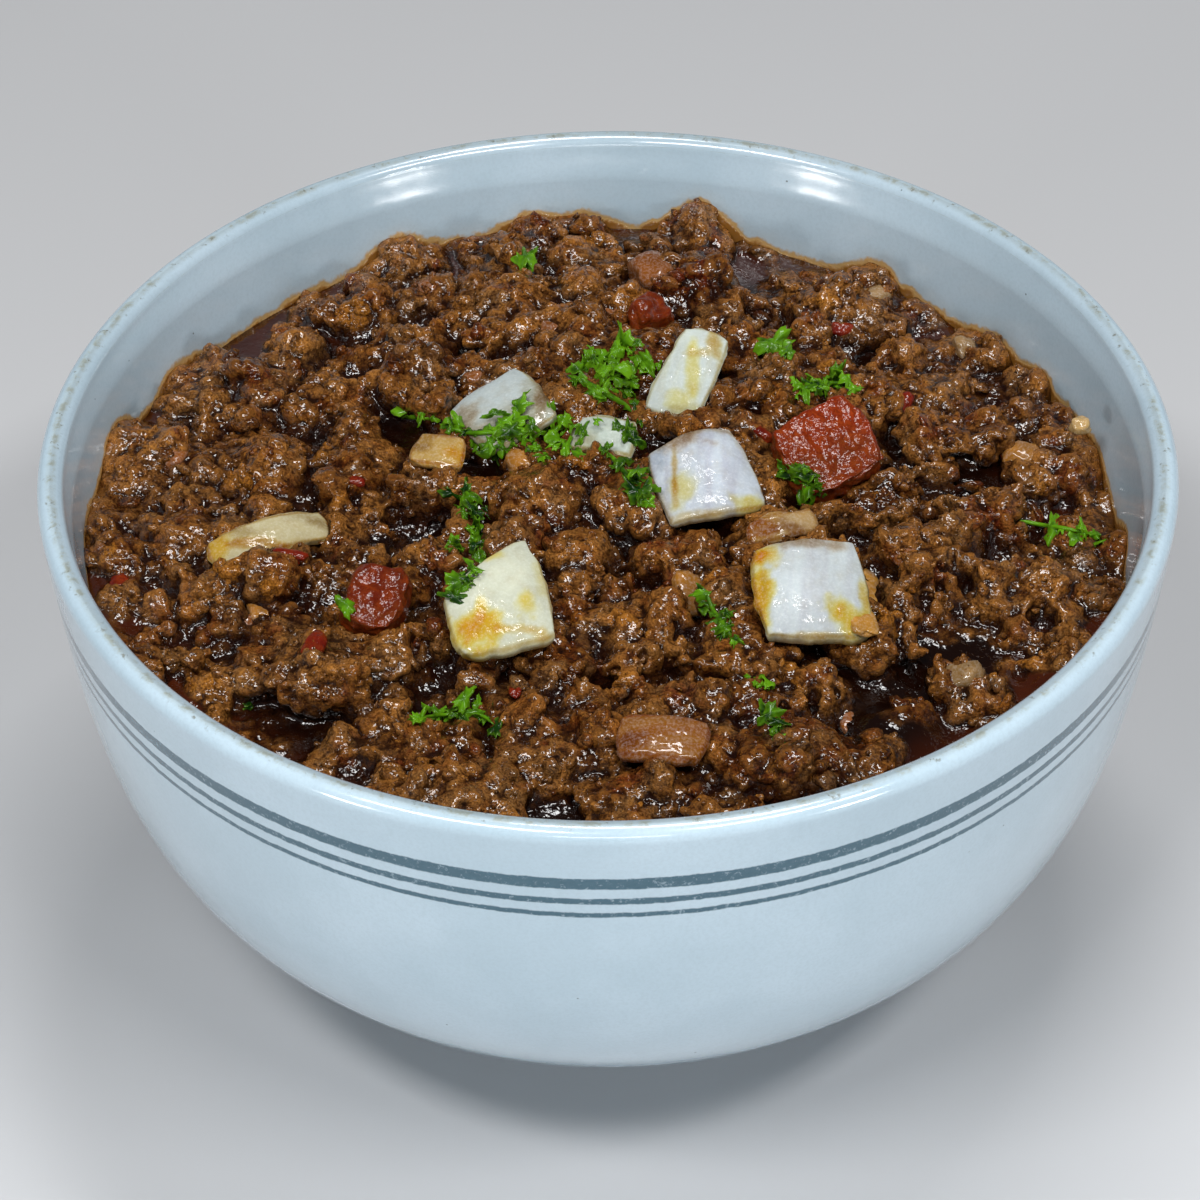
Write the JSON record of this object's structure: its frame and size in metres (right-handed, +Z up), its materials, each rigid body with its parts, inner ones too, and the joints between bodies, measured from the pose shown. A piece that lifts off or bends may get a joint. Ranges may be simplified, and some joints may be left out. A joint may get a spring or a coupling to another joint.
{
  "type": "bowl of chili con carne",
  "caption": "Chili con carne in a round stoneware bowl, with diced onion and tomato on top, standing on a plain foot ring.",
  "frame": {"origin": "centre of the foot ring's resting plane", "axes": "+Z up through the middle of the bowl, -Y towards the front"},
  "size_m": [0.152, 0.152, 0.0805],
  "materials": {
    "bowl": "gloss pale blue-grey glaze with three speckled teal-grey bands",
    "chili": "wet mince in brown sauce, standing in for food",
    "onion": "translucent cooked onion, wet",
    "soaked_onion": "onion soaked brown in sauce, wet",
    "tomato": "cooked tomato flesh, wet",
    "parsley": "chopped fresh parsley"
  },
  "bodies": {
    "root": {"bowl": "bowl", "chili": "chili", "onion_1": "onion", "onion_2": "onion", "onion_3": "onion", "onion_4": "onion", "onion_5": "onion", "onion_6": "onion", "onion_7": "onion", "onion_8": "onion", "onion_9": "soaked_onion", "onion_10": "onion", "tomato_1": "tomato", "tomato_2": "tomato", "tomato_3": "tomato"}
  },
  "joints": []
}
